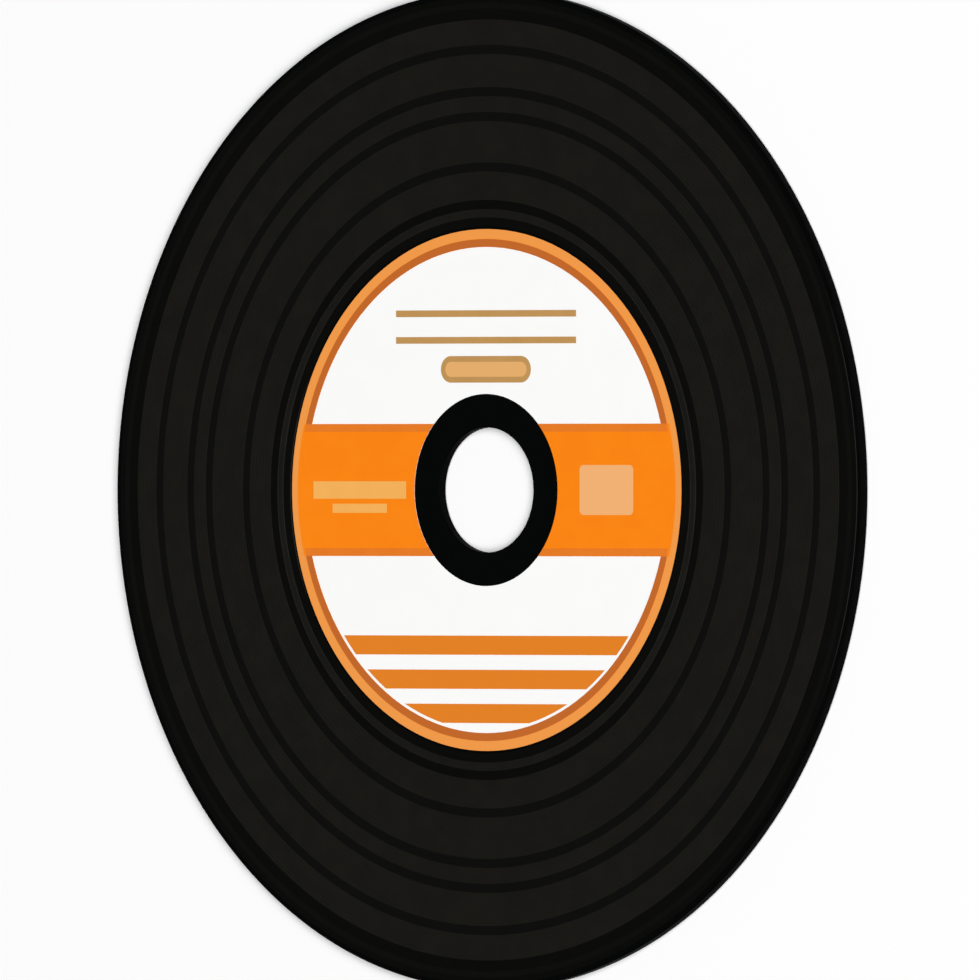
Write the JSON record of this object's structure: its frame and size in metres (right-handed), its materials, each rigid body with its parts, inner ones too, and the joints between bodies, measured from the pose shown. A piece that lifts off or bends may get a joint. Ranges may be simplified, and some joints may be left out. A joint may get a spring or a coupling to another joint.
{
  "type": "compact disc",
  "caption": "Recordable 120 mm compact disc with a record-look relief coat, a black hub and a round two-colour label with a plain band and stripes.",
  "frame": {"origin": "middle of the disc, at the height of the surface that its stacking ring lies on", "axes": "+Z out of the label along the centre hole's axis, +Y to the top of the label, +X to the label's right"},
  "size_m": [0.12, 0.12, 0.0016],
  "materials": {
    "black_polycarbonate": "moulded black polycarbonate, mirror smooth",
    "black_relief_coat": "screen-printed black relief varnish, satin",
    "white_base_ink": "white screen-printing ink, satin",
    "orange_ink": "orange screen-printing ink, satin",
    "deep_orange_ink": "deeper orange screen-printing ink, satin",
    "tan_ink": "tan screen-printing ink, satin",
    "pale_tint_ink": "pale orange tint ink, satin"
  },
  "bodies": {
    "root": {"disc": "black_polycarbonate", "groove_coat": "black_relief_coat", "label_base": "white_base_ink", "label_orange": "orange_ink", "label_keyline": "deep_orange_ink", "label_tan": "tan_ink", "label_pale": "pale_tint_ink"}
  },
  "joints": []
}
